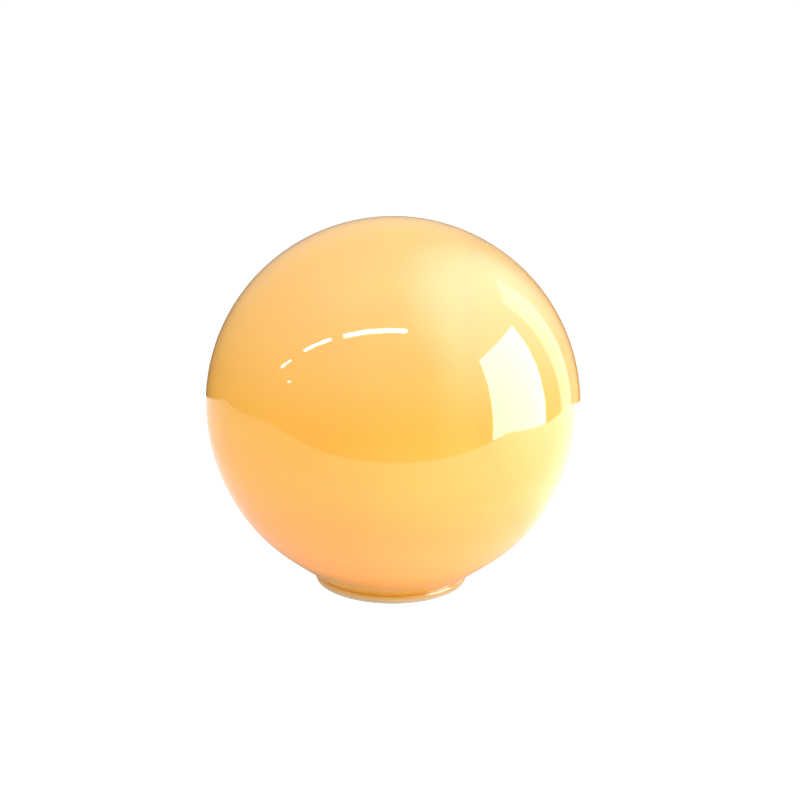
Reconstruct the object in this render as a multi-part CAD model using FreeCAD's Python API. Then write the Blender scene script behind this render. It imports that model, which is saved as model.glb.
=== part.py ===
"""Globe table lamp: a blown amber glass ball standing on its own short lipped neck.

A base unit stands inside the neck and carries the lampholder and the bulb; three
sprung clips on its skirt bear on the neck, and the glass lifts straight off it.
Millimetres, +Z up. The origin is on the axis of the ball, in the plane that the lamp
stands on. The cord outlet points to +Y, the back of the lamp.
"""
import FreeCAD
import Part
import math
import os

from FreeCAD import Vector

# --- glass globe ---
GLOBE_R = 125.0          # outside radius of the ball
GLASS_WALL = 3.0         # wall of the ball
NECK_R = 50.2            # outside radius of the neck, which the lip turns out from
NECK_WALL = 3.6          # the glass is thicker in the neck
CONE_SLOPE = 37.3        # the ball runs down to its lip in a cone of this slope, degrees
CREASE_ANGLE = 55.0      # where the cone meets the lip's round, degrees above level
LIP_OUT = 2.8            # the lip turns out this far from the neck
LIP_HEIGHT = 4.7         # thickness of the rolled lip
LIP_INNER_FILLET = 1.5   # fire-polished inner edge
# --- soft ring under the lip ---
RING_THICK = 1.2         # lifts the glass off the table
RING_SIDE = 1.2          # how far its edges climb round the lip
RING_INSET = 0.8         # its edge stands inside the lip's edge
# --- base unit ---
NECK_GAP = 1.0           # radial gap between skirt and neck
SKIRT_WALL = 2.0
DISH_TOP = 15.0
DISH_PLATE = 1.8
BOSS_DROP = 1.4
COVER_Z = 1.5            # underside of the bottom cover
COVER_THICK = 1.8
COVER_INSET = 0.8        # the cover's edge stands inside the skirt's edge
SLOT_IN = 19.0           # vent slots, from this radius
SLOT_W = 3.2
SLOT_STOP = 6.0          # to this far inside the circle of screws and feet
FOOT_R = 4.5
FOOT_SEAT = 0.4          # depth of the foot's seat in the cover
POST_R = 3.2
POST_INSET = 3.4         # post to skirt; feet stand on the same circle
SCREW_R = 1.4
SCREW_HEAD_R = 2.8
SCREW_GRIP = 7.5         # thread held in the post
# --- cord outlet ---
CORD_R = 2.8             # radius of the round mains cord that fits
CORD_FIT = 0.1           # radial clearance of the bush on the cord
BUSH_WALL = 1.0
BUSH_OUT = 5.4           # how far the bush stands out of the skirt
BUSH_FLANGE = 1.0
BUSH_FLANGE_T = 1.6
NOTCH_GAP = 0.7          # glass notch round the bush
BUSH_BED = 0.2           # how deep the bush beds in the cover
CLAMP_Y = 25.0
CLAMP_THICK = 1.6
CLAMP_DEPTH = 8.0
CLAMP_SCREW_X = 7.5
# --- threaded nipple, nut and washer ---
NIPPLE_R = 5.0
NIPPLE_BORE = 3.6
NUT_WALL = 2.0
NUT_THICK = 3.2
WASHER_W = 4.0
WASHER_THICK = 0.8
NIPPLE_BELOW = 0.8       # nipple past the nut
NIPPLE_ABOVE = 8.4       # nipple inside the lampholder
# --- lampholder ---
DOME_NECK_WALL = 2.5
DOME_NECK_H = 6.0
DOME_WALL = 1.6
SHELL_AIR = 3.9          # screw shell to the inside of the skirt
DOME_H = 20.4            # to the seam with the skirt
SPIGOT_H = 6.0
HOLDER_H = 52.4
HOLDER_MOUTH = 2.0       # mouth past the crest of the bulb's thread
HOLDER_LIP = 2.0
INSERT_H = 10.0
INSERT_Z_UP = 18.4       # underside of the insert above the holder's foot
INSERT_FIT = 0.2
# --- lamp cap thread ---
THREAD_PITCH = 3.629
CAP_ROOT_R = 12.2
CAP_THREAD = 1.0         # height of the cap's thread
THREAD_CLEAR = 0.3       # radial, crest of the cap to wall of the shell
THREAD_DEPTH = 0.95      # how far the shell's thread stands in
THREAD_BASE_W = 2.3
THREAD_CREST_W = 0.8
CAP_TURNS = 3.0
SHELL_TURNS = 4.0
SHELL_WALL = 0.6
SHELL_H = 22.0
SHELL_HOLE_R = 7.5
# --- bulb ---
CAP_H = 17.0
CAP_WALL = 0.8
TIP_R = 4.8
TIP_H = 1.4
GLAZE_H = 3.6
COLLAR_FOOT = 0.5        # collar's foot past the crest of the thread
COLLAR_WALL = 1.5
COLLAR_H = 39.5
COLLAR_TOP_R = 26.5
BULB_R = 30.0
BULB_WALL = 1.2
BOARD_THICK = 1.6
CHIP_COUNT = 12
CHIP_PCR = 16.0
CHIP = 3.0
CHIP_H = 0.7
# --- contacts ---
CONTACT_W = 5.0
CONTACT_T = 0.5
CONTACT_RIVET_X = -5.0
CONTACT_LIFT = 0.2       # play of the tongue's root under its rivet
TIP_GAP = 0.2            # tongue to bulb tip
CONTACT_RISE = 2.5
# --- retaining clips ---
CLIP_ANGLES = (30.0, 150.0, 270.0)
FOOT_ANGLES = (60.0, 180.0, 300.0)
SCREW_ANGLES = (0.0, 120.0, 240.0)
CLIP_W = 9.0
EYE_W = 5.0
CLIP_T = 0.55
CLIP_NECK_GAP = 0.3      # drawn just clear of the glass it bears on
CLIP_BOW_R = 5.4
CLIP_BOW_Z = 6.6
PIN_R = 1.0
PIN_FIT = 0.06
PIN_INSET = 2.4          # pin inside the clip's outermost point
EAR_T = 2.4
EAR_SIDE = 2.0
WINDOW_GAP = 0.5
WIRE_R = 0.25
WIRE_PLAY = 0.05         # coil to pin, and leg to dish
COIL_TURNS = 3.25
COIL_LEG = 3.0

# --- derived places, worked out once ---
NECK_IN = NECK_R - NECK_WALL
LIP_R = NECK_R + LIP_OUT
ROLL_R = LIP_HEIGHT / 2
CREASE = (LIP_R - ROLL_R + ROLL_R * math.cos(math.radians(CREASE_ANGLE)),
          RING_THICK + ROLL_R + ROLL_R * math.sin(math.radians(CREASE_ANGLE)))
CONE_TOP_R = GLOBE_R * math.sin(math.radians(CONE_SLOPE))
CONE_TOP_Z = CREASE[1] + (CONE_TOP_R - CREASE[0]) * math.tan(math.radians(CONE_SLOPE))
BALL_CENTRE_Z = CONE_TOP_Z + GLOBE_R * math.cos(math.radians(CONE_SLOPE))
DISH_R = NECK_IN - NECK_GAP
SKIRT_IN = DISH_R - SKIRT_WALL
COVER_TOP = COVER_Z + COVER_THICK
PLATE_Z = DISH_TOP - DISH_PLATE
SCREW_PCR = SKIRT_IN - POST_R - POST_INSET
FOOT_PCR = SCREW_PCR
SLOT_OUT = SCREW_PCR - SLOT_STOP
BUSH_BORE = CORD_R + CORD_FIT
BUSH_R = BUSH_BORE + BUSH_WALL
BUSH_Y1 = DISH_R + BUSH_OUT
BUSH_Y0 = SKIRT_IN - BUSH_FLANGE_T
NOTCH_R = BUSH_R + NOTCH_GAP
CORD_Z = COVER_TOP + BUSH_R - BUSH_BED
CLAMP_TOP = PLATE_Z - 2 * CORD_R     # the clamp presses the cord against the dish
NUT_FLATS = 2 * (NIPPLE_R + NUT_WALL)
WASHER_R = NIPPLE_R + WASHER_W
DOME_NECK_R = NIPPLE_R + DOME_NECK_WALL
HOLDER_Z = DISH_TOP + WASHER_THICK
INSERT_Z = HOLDER_Z + INSERT_Z_UP
SHELL_Z = INSERT_Z + INSERT_H
CAP_CREST_R = CAP_ROOT_R + CAP_THREAD
SHELL_IN = CAP_CREST_R + THREAD_CLEAR
SHELL_OUT = SHELL_IN + SHELL_WALL
HOLDER_R = SHELL_OUT + SHELL_AIR + DOME_WALL
HOLDER_MOUTH_R = CAP_CREST_R + HOLDER_MOUTH
COLLAR_FOOT_R = CAP_CREST_R + COLLAR_FOOT
INSERT_R = HOLDER_R - 2 * DOME_WALL - INSERT_FIT
HOLDER_TOP = HOLDER_Z + HOLDER_H
TIP_Z = SHELL_Z + CONTACT_LIFT + CONTACT_T + CONTACT_RISE + TIP_GAP
GLAZE_Z = TIP_Z + TIP_H
CAP_Z = GLAZE_Z + GLAZE_H
COLLAR_Z = CAP_Z + CAP_H
COLLAR_TOP = COLLAR_Z + COLLAR_H
CLIP_OUT = NECK_IN - CLIP_NECK_GAP
PIN_AT = CLIP_OUT - PIN_INSET - PIN_R
COIL_R = PIN_R + WIRE_PLAY + WIRE_R
PIN_Z = PLATE_Z - COIL_R - WIRE_R - WIRE_PLAY
EYE_R = PIN_R + PIN_FIT + CLIP_T
WINDOW_W = CLIP_W + 2 * WINDOW_GAP

UP = Vector(0, 0, 1)
AXIS = Vector(0, 0, 0)


def turned(points):
    """Solid of revolution about Z from a closed outline of (radius, height) points."""
    outline = Part.makePolygon([Vector(r, 0, z) for r, z in points + points[:1]])
    return Part.Face(outline).revolve(AXIS, UP, 360)


def rod(radius, z0, z1, x=0.0, y=0.0):
    return Part.makeCylinder(radius, z1 - z0, Vector(x, y, z0))


def tube(r_in, r_out, z0, z1):
    return rod(r_out, z0, z1).cut(rod(r_in, z0, z1))


def block(x0, x1, y0, y1, z0, z1):
    return Part.makeBox(x1 - x0, y1 - y0, z1 - z0, Vector(x0, y0, z0))


def at_angle(shape, degrees):
    """Copy of a piece drawn on +X, swung round the lamp's axis."""
    copy = shape.copy()
    copy.rotate(AXIS, UP, degrees)
    return copy


def write(name, *solids):
    shape = solids[0] if len(solids) == 1 else Part.makeCompound(list(solids))
    shape.exportStep(f"parts/{name}.step")


def arc(centre, radius, start, end):
    """Arc in the XZ plane; angles in degrees from +X towards +Z."""
    def point(a):
        a = math.radians(a)
        return Vector(centre[0] + radius * math.cos(a), 0, centre[1] + radius * math.sin(a))
    return Part.Arc(point(start), point((start + end) / 2), point(end)).toShape()


def line(a, b):
    return Part.makeLine(Vector(a[0], 0, a[1]), Vector(b[0], 0, b[1]))


def revolve_edges(edges):
    return Part.Face(Part.Wire(edges)).revolve(AXIS, UP, 360)


# ---------------------------------------------------------------- glass and its ring
def glass_globe():
    """Ball, conical throat and rolled lip, blown in one piece, with the cord notch."""
    inner_r = GLOBE_R - GLASS_WALL
    inner_drop = math.sqrt(inner_r ** 2 - NECK_IN ** 2)
    inner_angle = math.degrees(math.atan2(-inner_drop, NECK_IN))
    roll_at = (LIP_R - ROLL_R, RING_THICK + ROLL_R)
    centre = (0, BALL_CENTRE_Z)
    edge_at = (NECK_IN + LIP_INNER_FILLET, RING_THICK + LIP_INNER_FILLET)
    glass = revolve_edges([
        arc(centre, GLOBE_R, 90, CONE_SLOPE - 90),
        line((CONE_TOP_R, CONE_TOP_Z), CREASE),
        arc(roll_at, ROLL_R, CREASE_ANGLE, -90),
        line((roll_at[0], RING_THICK), (edge_at[0], RING_THICK)),
        arc(edge_at, LIP_INNER_FILLET, 270, 180),
        line((NECK_IN, edge_at[1]), (NECK_IN, BALL_CENTRE_Z - inner_drop)),
        arc(centre, inner_r, inner_angle, 90),
        line((0, BALL_CENTRE_Z + inner_r), (0, BALL_CENTRE_Z + GLOBE_R)),
    ])
    return glass.cut(cord_notch())


def cord_notch():
    """Round-topped notch in glass and ring, open below, that the cord leaves through."""
    y0 = NECK_IN - 3
    y1 = LIP_R + 8
    hole = Part.makeCylinder(NOTCH_R, y1 - y0, Vector(0, y0, CORD_Z), Vector(0, 1, 0))
    return hole.fuse(block(-NOTCH_R, NOTCH_R, y0, y1, -1, CORD_Z))


def rim_ring(glass):
    """Soft ring that the lip stands in; it keeps the glass off the table top."""
    ring = tube(NECK_IN + RING_INSET / 2, LIP_R - RING_INSET, 0, RING_THICK + RING_SIDE)
    cut = ring.cut(glass).cut(cord_notch())
    return max(cut.Solids, key=lambda s: s.Volume)


# ---------------------------------------------------------------- base unit
def slots(z0, z1):
    """Six radial vent slots with round ends."""
    half = SLOT_W / 2
    slot = block(SLOT_IN, SLOT_OUT, -half, half, z0, z1)
    slot = slot.fuse([rod(half, z0, z1, SLOT_IN), rod(half, z0, z1, SLOT_OUT)])
    return [at_angle(slot, 60.0 * k) for k in range(6)]


def bush_shape():
    """Moulded sleeve with an inner flange, before its bore is made."""
    back = Vector(0, 1, 0)
    sleeve = Part.makeCylinder(BUSH_R, BUSH_Y1 - BUSH_Y0, Vector(0, BUSH_Y0, CORD_Z), back)
    flange_r = BUSH_R + BUSH_FLANGE
    flange = Part.makeCylinder(flange_r, BUSH_FLANGE_T, Vector(0, BUSH_Y0, CORD_Z), back)
    return sleeve.fuse(flange)


def cord_bush(skirt):
    bore = Part.makeCylinder(BUSH_BORE, BUSH_Y1 - BUSH_Y0, Vector(0, BUSH_Y0, CORD_Z), Vector(0, 1, 0))
    return bush_shape().cut(bore).cut(skirt)


def base_dish():
    """Moulded dish: top plate, skirt, screw posts and the ears of the three clips."""
    dish = tube(SKIRT_IN, DISH_R, COVER_TOP, DISH_TOP)
    dish = dish.fuse(rod(SKIRT_IN + 0.5, PLATE_Z, DISH_TOP))
    dish = dish.fuse(rod(WASHER_R, PLATE_Z - BOSS_DROP, DISH_TOP))
    posts = [at_angle(rod(POST_R, COVER_TOP, PLATE_Z, SCREW_PCR), a) for a in SCREW_ANGLES]
    posts += [rod(POST_R, CLAMP_TOP, PLATE_Z, x, CLAMP_Y) for x in (-CLAMP_SCREW_X, CLAMP_SCREW_X)]
    dish = dish.fuse(posts)
    ears = []
    half = WINDOW_W / 2
    for a in CLIP_ANGLES:
        for y0 in (half, -half - EAR_T):
            ear = block(PIN_AT - PIN_R - EAR_SIDE, DISH_R - 1.0, y0, y0 + EAR_T,
                        PIN_Z - PIN_R - EAR_SIDE, DISH_TOP)
            ears.append(at_angle(ear, a))
    dish = dish.fuse(ears)
    cuts = slots(PLATE_Z - 1, DISH_TOP + 1)
    for a in CLIP_ANGLES:
        window = block(PIN_AT - EYE_R - WINDOW_GAP, DISH_R + 1, -half, half,
                       COVER_TOP - 1, DISH_TOP + 1)
        cuts += [at_angle(window, a), at_angle(clip_pin_shape(), a)]
    cuts.append(rod(NIPPLE_R, 0, DISH_TOP + 1))
    cuts += [at_angle(rod(SCREW_R, 0, COVER_TOP + SCREW_GRIP, SCREW_PCR), a) for a in SCREW_ANGLES]
    cuts += [rod(SCREW_R, 0, CLAMP_TOP + 4.5, x, CLAMP_Y) for x in (-CLAMP_SCREW_X, CLAMP_SCREW_X)]
    sleeve = Part.makeCylinder(BUSH_R, 20, Vector(0, SKIRT_IN - 2, CORD_Z), Vector(0, 1, 0))
    cuts += [sleeve, block(-BUSH_R, BUSH_R, SKIRT_IN - 2, DISH_R + 2, 0, CORD_Z)]
    return dish.cut(cuts)


def bottom_cover():
    """Vented disc that closes the base unit, with seats for feet and screws."""
    cover = rod(DISH_R - COVER_INSET, COVER_Z, COVER_TOP)
    cuts = slots(COVER_Z - 1, COVER_TOP + 1)
    half = WINDOW_W / 2
    for a in CLIP_ANGLES:
        gap = block(PIN_AT - 1.0, DISH_R + 1, -half, half, 0, COVER_TOP + 1)
        cuts.append(at_angle(gap, a))
    for a in FOOT_ANGLES:
        cuts.append(at_angle(rod(FOOT_R, 0, COVER_Z + FOOT_SEAT, FOOT_PCR), a))
    for a in SCREW_ANGLES:
        cuts.append(at_angle(screw_shape(SCREW_PCR, 0, COVER_Z, COVER_THICK + SCREW_GRIP), a))
    cuts.append(bush_shape())
    return cover.cut(cuts)


def screw_shape(x, y, z, length):
    """Countersunk screw driven upward: head flush with the face at height z."""
    head = Part.makeCone(SCREW_HEAD_R, SCREW_R, SCREW_HEAD_R - SCREW_R, Vector(x, y, z))
    return head.fuse(rod(SCREW_R, z, z + length, x, y))


def screw(x, y, z, length):
    recess = block(x - 1.6, x + 1.6, y - 0.3, y + 0.3, z, z + 0.7)
    cross = block(x - 0.3, x + 0.3, y - 1.6, y + 1.6, z, z + 0.7)
    return screw_shape(x, y, z, length).cut([recess, cross])


def cord_clamp():
    """Bar that presses the cord against the dish and takes the pull off the terminals."""
    half = CLAMP_DEPTH / 2
    reach = CLAMP_SCREW_X + POST_R
    bar = block(-reach, reach, CLAMP_Y - half, CLAMP_Y + half, CLAMP_TOP - CLAMP_THICK, CLAMP_TOP)
    bar = bar.makeFillet(1.5, [e for e in bar.Edges if abs(e.Length - CLAMP_THICK) < 1e-6])
    z = CLAMP_TOP - CLAMP_THICK
    return bar.cut([screw_shape(x, CLAMP_Y, z, 9.0) for x in (-CLAMP_SCREW_X, CLAMP_SCREW_X)])


def hexagon(flats, z0, z1):
    corner = flats / math.sqrt(3)
    points = [Vector(corner * math.cos(math.radians(60 * k)), corner * math.sin(math.radians(60 * k)), z0)
              for k in range(7)]
    return Part.Face(Part.makePolygon(points)).extrude(Vector(0, 0, z1 - z0))


# ---------------------------------------------------------------- retaining clips
def clip_pin_shape():
    """Steel pin across the clip's window, drawn on +X."""
    length = WINDOW_W + 2 * EAR_T
    return Part.makeCylinder(PIN_R, length, Vector(PIN_AT, -length / 2, PIN_Z), Vector(0, 1, 0))


def spring_clip():
    """Strip-steel clip: an eye curled round the pin and a bowed leaf that bears on the neck."""
    centre = (CLIP_OUT - CLIP_BOW_R, CLIP_BOW_Z)
    inside = CLIP_BOW_R - CLIP_T
    to_pin = math.degrees(math.atan2(PIN_Z - centre[1], PIN_AT - centre[0]))
    start = to_pin - 14
    tip = -42
    ends = []
    for a in (start, tip):
        a = math.radians(a)
        ends.append([(centre[0] + r * math.cos(a), centre[1] + r * math.sin(a))
                     for r in (CLIP_BOW_R, inside)])
    leaf_face = Part.Face(Part.Wire([
        arc(centre, CLIP_BOW_R, start, tip),
        line(ends[1][0], ends[1][1]),
        arc(centre, inside, tip, start),
        line(ends[0][1], ends[0][0]),
    ]))
    leaf = leaf_face.extrude(Vector(0, CLIP_W, 0))
    leaf.translate(Vector(0, -CLIP_W / 2, 0))
    upper = block(0, GLOBE_R, -CLIP_W / 2 - 1, CLIP_W / 2 - EYE_W, PIN_Z - EYE_R - 0.4, DISH_TOP + 5)
    leaf = leaf.cut(upper)
    eye = Part.makeCylinder(EYE_R, EYE_W, Vector(PIN_AT, CLIP_W / 2 - EYE_W, PIN_Z), Vector(0, 1, 0))
    bore = Part.makeCylinder(PIN_R + PIN_FIT, CLIP_W + 2,
                             Vector(PIN_AT, -CLIP_W / 2 - 1, PIN_Z), Vector(0, 1, 0))
    return leaf.fuse(eye).cut(bore).removeSplitter()


def clip_spring():
    """Torsion spring on the pin: one leg bears under the dish, the other behind the leaf."""
    pitch = 2 * WIRE_R + 0.1
    length = pitch * COIL_TURNS
    coil = Part.Wire(Part.makeHelix(pitch, length, COIL_R).Edges)
    section = Part.Wire(Part.makeCircle(WIRE_R, Vector(COIL_R, 0, 0), Vector(0, 1, 0)))
    spring = coil.makePipeShell([section], True, True)
    spring.rotate(AXIS, UP, -90)
    dish_leg = Part.makeCylinder(WIRE_R, COIL_LEG, Vector(0.1, -COIL_R, 0), Vector(-1, 0, 0))
    leaf_leg = Part.makeCylinder(WIRE_R, COIL_LEG, Vector(COIL_R, -0.1, length), Vector(-0.15, 1, 0))
    spring = spring.fuse([dish_leg, leaf_leg])
    spring.rotate(AXIS, Vector(1, 0, 0), -90)
    spring.translate(Vector(PIN_AT, -CLIP_W / 2 + 0.5, PIN_Z))
    return spring


# ---------------------------------------------------------------- lampholder
def holder_dome():
    """Lower half of the lampholder, screwed on the nipple."""
    z = HOLDER_Z
    seam = z + DOME_H
    spigot = HOLDER_R - DOME_WALL
    inner = INSERT_R + INSERT_FIT
    ledge = INSERT_R - DOME_WALL
    return turned([
        (NIPPLE_R, z), (DOME_NECK_R, z), (DOME_NECK_R, z + DOME_NECK_H),
        (DOME_NECK_R + 6.0, z + DOME_NECK_H + 3.0), (HOLDER_R - 2.6, z + DOME_NECK_H + 7.0),
        (HOLDER_R, seam - 3.0), (HOLDER_R, seam), (spigot, seam), (spigot, seam + SPIGOT_H),
        (inner, seam + SPIGOT_H), (inner, INSERT_Z), (ledge, INSERT_Z), (ledge, INSERT_Z - 3.0),
        (NIPPLE_R + 1.2, z + NIPPLE_ABOVE), (NIPPLE_R, z + NIPPLE_ABOVE),
    ])


def holder_skirt():
    """Upper half of the lampholder, with grip flutes round its rim."""
    seam = HOLDER_Z + DOME_H
    inner = HOLDER_R - DOME_WALL
    top = HOLDER_TOP
    skirt = turned([
        (inner, seam), (HOLDER_R, seam), (HOLDER_R, top - 0.8), (HOLDER_R - 0.8, top),
        (HOLDER_MOUTH_R, top), (HOLDER_MOUTH_R, top - HOLDER_LIP), (inner, top - HOLDER_LIP),
    ])
    flute = rod(0.8, seam + 4, top - 6, HOLDER_R + 0.35)
    return skirt.cut([at_angle(flute, 15.0 * k) for k in range(24)])


def holder_insert():
    """Glazed ceramic insert that carries the contacts."""
    body = rod(INSERT_R, INSERT_Z, SHELL_Z)
    edge = [e for e in body.Edges if e.Length > 1 and abs(e.BoundBox.ZMin - SHELL_Z) < 1e-6 and
            abs(e.BoundBox.ZMax - SHELL_Z) < 1e-6]
    body = body.makeFillet(0.6, edge)
    wire_holes = [rod(1.6, INSERT_Z - 1, SHELL_Z + 1, 0, y) for y in (-10.5, 10.5)]
    screws = [rod(1.1, INSERT_Z - 1, INSERT_Z + 5, x, 0) for x in (-8.0, 8.0)]
    rivet = rod(0.8, SHELL_Z - 3, SHELL_Z + 1, CONTACT_RIVET_X, 0)
    return body.cut(wire_holes + screws + [rivet])


def thread_ridge(root_r, crest_r, z0, turns):
    """Helical ridge from root to crest radius; the root is buried 0.2 mm in its wall."""
    out = 1 if crest_r > root_r else -1
    height = THREAD_PITCH * turns
    path = Part.Wire(Part.makeHelix(THREAD_PITCH, height, root_r).Edges)
    base = THREAD_BASE_W / 2
    crest = THREAD_CREST_W / 2
    root = root_r - 0.2 * out
    outline = Part.makePolygon([Vector(root, 0, -base), Vector(root, 0, base), Vector(crest_r, 0, crest),
                                Vector(crest_r, 0, -crest), Vector(root, 0, -base)])
    ridge = path.makePipeShell([Part.Wire(outline.Edges)], True, True)
    ridge.translate(Vector(0, 0, z0))
    return ridge


CAP_THREAD_Z = CAP_Z + 3.0
SHELL_THREAD_Z = CAP_THREAD_Z - 1.5 * THREAD_PITCH     # half a pitch out of step, so ridges pass


def screw_shell():
    """Brass shell with the lampholder's thread rolled into it."""
    shell = tube(SHELL_IN, SHELL_OUT, SHELL_Z, SHELL_Z + SHELL_H)
    shell = shell.fuse(tube(SHELL_HOLE_R, SHELL_OUT, SHELL_Z, SHELL_Z + SHELL_WALL))
    return shell.fuse(thread_ridge(SHELL_IN, SHELL_IN - THREAD_DEPTH, SHELL_THREAD_Z, SHELL_TURNS))


def centre_contact():
    """Sprung brass tongue under the bulb's tip, riveted at one end."""
    z = SHELL_Z + CONTACT_LIFT
    x0 = CONTACT_RIVET_X - 1.6
    x1 = CONTACT_RIVET_X + 1.6
    top = z + CONTACT_RISE
    outline = [(x0, z), (x1, z), (0.0, top), (2.6, top), (3.6, top - 0.6), (3.6, top - 0.6 + CONTACT_T),
               (2.6, top + CONTACT_T), (-0.2, top + CONTACT_T), (x1 - 0.2, z + CONTACT_T),
               (x0, z + CONTACT_T)]
    face = Part.Face(Part.makePolygon([Vector(x, 0, h) for x, h in outline + outline[:1]]))
    tongue = face.extrude(Vector(0, CONTACT_W, 0))
    tongue.translate(Vector(0, -CONTACT_W / 2, 0))
    return tongue.cut(rod(1.0, z - 1, z + 2, CONTACT_RIVET_X, 0))


def contact_rivet():
    shank = rod(0.8, SHELL_Z - 3, SHELL_Z + 2 * CONTACT_LIFT + CONTACT_T + 0.5, CONTACT_RIVET_X, 0)
    head_z = SHELL_Z + 2 * CONTACT_LIFT + CONTACT_T
    return shank.fuse(rod(1.4, head_z, head_z + 0.6, CONTACT_RIVET_X, 0))


def side_contact():
    """Brass blade that touches the screw shell from outside."""
    return block(SHELL_OUT, SHELL_OUT + 0.6, -2, 2, SHELL_Z, SHELL_Z + 10)


def terminal_screws():
    pair = []
    for x in (-8.0, 8.0):
        head = rod(2.0, INSERT_Z - 1.6, INSERT_Z, x, 0)
        pair.append(head.fuse(rod(1.1, INSERT_Z, INSERT_Z + 5, x, 0)).cut(
            block(x - 2.1, x + 2.1, -0.3, 0.3, INSERT_Z - 1.7, INSERT_Z - 0.9)))
    return pair


# ---------------------------------------------------------------- bulb
def cap_tip():
    return turned([(0, TIP_Z), (TIP_R - 1.6, TIP_Z), (TIP_R, TIP_Z + 0.8), (TIP_R, GLAZE_Z), (0, GLAZE_Z)])


def cap_insulator():
    return turned([(0, GLAZE_Z), (TIP_R + 0.8, GLAZE_Z), (CAP_ROOT_R - 0.6, CAP_Z - 0.6),
                   (CAP_ROOT_R - 0.6, CAP_Z), (0, CAP_Z)])


def bulb_cap():
    """Threaded metal cap of the bulb."""
    cap = tube(CAP_ROOT_R - CAP_WALL, CAP_ROOT_R, CAP_Z, COLLAR_Z + 4.0)
    return cap.fuse(thread_ridge(CAP_ROOT_R, CAP_CREST_R, CAP_THREAD_Z, CAP_TURNS))


def bulb_collar():
    """Moulded collar over the driver, crimped on the cap."""
    z = COLLAR_Z
    top = COLLAR_TOP
    wall = COLLAR_WALL
    return turned([
        (CAP_ROOT_R, z), (COLLAR_FOOT_R, z), (COLLAR_FOOT_R + 1.2, z + 4.0), (COLLAR_TOP_R, top),
        (COLLAR_TOP_R - wall, top), (COLLAR_TOP_R - wall, top - BOARD_THICK),
        (COLLAR_TOP_R - 2 * wall, top - BOARD_THICK), (CAP_ROOT_R, z + 8.0),
    ])


def bulb_envelope():
    """Opal envelope: most of a thin ball, standing on the collar's rim."""
    centre_z = COLLAR_TOP + math.sqrt(BULB_R ** 2 - COLLAR_TOP_R ** 2)
    centre = (0, centre_z)
    inner = BULB_R - BULB_WALL
    rim = COLLAR_TOP - centre_z
    outer_r = math.sqrt(BULB_R ** 2 - rim ** 2)
    inner_r = math.sqrt(inner ** 2 - rim ** 2)
    outer_angle = math.degrees(math.atan2(rim, outer_r))
    inner_angle = math.degrees(math.atan2(rim, inner_r))
    return revolve_edges([
        arc(centre, BULB_R, 90, outer_angle),
        line((outer_r, COLLAR_TOP), (inner_r, COLLAR_TOP)),
        arc(centre, inner, inner_angle, 90),
        line((0, centre_z + inner), (0, centre_z + BULB_R)),
    ])


def led_chips():
    half = CHIP / 2
    chip = block(CHIP_PCR - half, CHIP_PCR + half, -half, half, COLLAR_TOP, COLLAR_TOP + CHIP_H)
    return [at_angle(chip, 360.0 * k / CHIP_COUNT) for k in range(CHIP_COUNT)]


# ---------------------------------------------------------------- the pieces
def main():
    os.makedirs("parts", exist_ok=True)
    glass = glass_globe()
    write("glass_globe", glass)
    write("rim_ring", rim_ring(glass))

    dish = base_dish()
    write("base_dish", dish)
    write("bottom_cover", bottom_cover())
    for k, a in enumerate(FOOT_ANGLES, 1):
        write(f"foot_pad_{k}", at_angle(rod(FOOT_R, 0, COVER_Z + FOOT_SEAT, FOOT_PCR), a))
    write("cover_screws", *[at_angle(screw(SCREW_PCR, 0, COVER_Z, COVER_THICK + SCREW_GRIP), a)
                            for a in SCREW_ANGLES])
    write("cord_bush", cord_bush(dish))
    write("cord_clamp", cord_clamp())
    write("clamp_screws", *[screw(x, CLAMP_Y, CLAMP_TOP - CLAMP_THICK, CLAMP_THICK + 4.5)
                            for x in (-CLAMP_SCREW_X, CLAMP_SCREW_X)])

    nut_top = PLATE_Z - BOSS_DROP
    nut = hexagon(NUT_FLATS, nut_top - NUT_THICK, nut_top).cut(rod(NIPPLE_R, 0, DISH_TOP))
    write("nipple_nut", nut)
    write("threaded_nipple", tube(NIPPLE_BORE, NIPPLE_R, nut_top - NUT_THICK - NIPPLE_BELOW,
                                  HOLDER_Z + NIPPLE_ABOVE))
    write("lock_washer", tube(NIPPLE_R, WASHER_R, DISH_TOP, HOLDER_Z))

    write("holder_dome", holder_dome())
    write("holder_skirt", holder_skirt())
    write("holder_insert", holder_insert())
    write("screw_shell", screw_shell())
    write("centre_contact", centre_contact())
    write("contact_rivet", contact_rivet())
    write("side_contact", side_contact())
    write("terminal_screws", *terminal_screws())

    for k, a in enumerate(CLIP_ANGLES, 1):
        write(f"clip_pin_{k}", at_angle(clip_pin_shape(), a))
        write(f"spring_clip_{k}", at_angle(spring_clip(), a))
        write(f"clip_spring_{k}", at_angle(clip_spring(), a))

    write("cap_tip", cap_tip())
    write("cap_insulator", cap_insulator())
    write("bulb_cap", bulb_cap())
    write("bulb_collar", bulb_collar())
    write("led_board", rod(COLLAR_TOP_R - COLLAR_WALL, COLLAR_TOP - BOARD_THICK, COLLAR_TOP))
    write("led_chips", *led_chips())
    write("bulb_envelope", bulb_envelope())


main()
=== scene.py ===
import math
import bmesh
import bpy
from mathutils import Matrix, Vector, noise


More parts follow.
